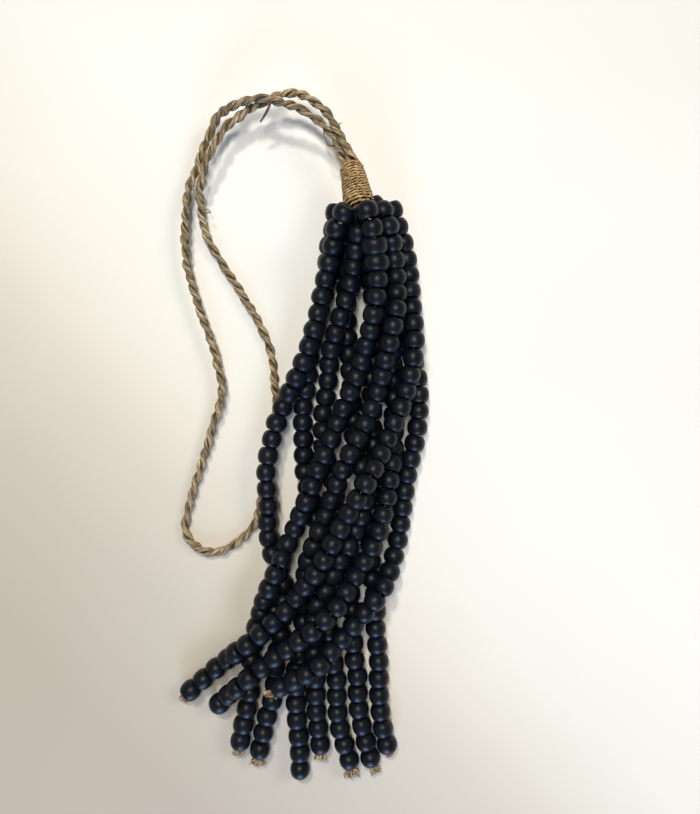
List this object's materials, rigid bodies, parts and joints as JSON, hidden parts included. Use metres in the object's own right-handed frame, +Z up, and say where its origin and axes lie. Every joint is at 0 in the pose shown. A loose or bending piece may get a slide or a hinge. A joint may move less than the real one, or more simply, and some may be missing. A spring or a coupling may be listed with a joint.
{
  "type": "beaded tassel",
  "caption": "Tassel of black wooden beads strung on cord, gathered in a twine-whipped head with a long twisted hanging loop, lying flat.",
  "frame": {"origin": "on the surface, under the middle of the footprint of the strands and the head; the hanging loop is not counted", "axes": "+Y from the free ends of the strands to the head, +Z up from the surface it lies on, +X to the right seen from above"},
  "size_m": [0.149, 0.4074, 0.0429],
  "materials": {
    "black_wood": "matt black paint on turned wooden beads, slightly worn",
    "twine": "golden brown twisted twine",
    "grass_cord": "two-ply cord twisted from dried grass",
    "string": "undyed cotton string, frayed at the knots"
  },
  "bodies": {
    "root": {"bead_strands": "black_wood", "head_binding": "twine", "hanging_loop": "grass_cord"}
  },
  "joints": []
}
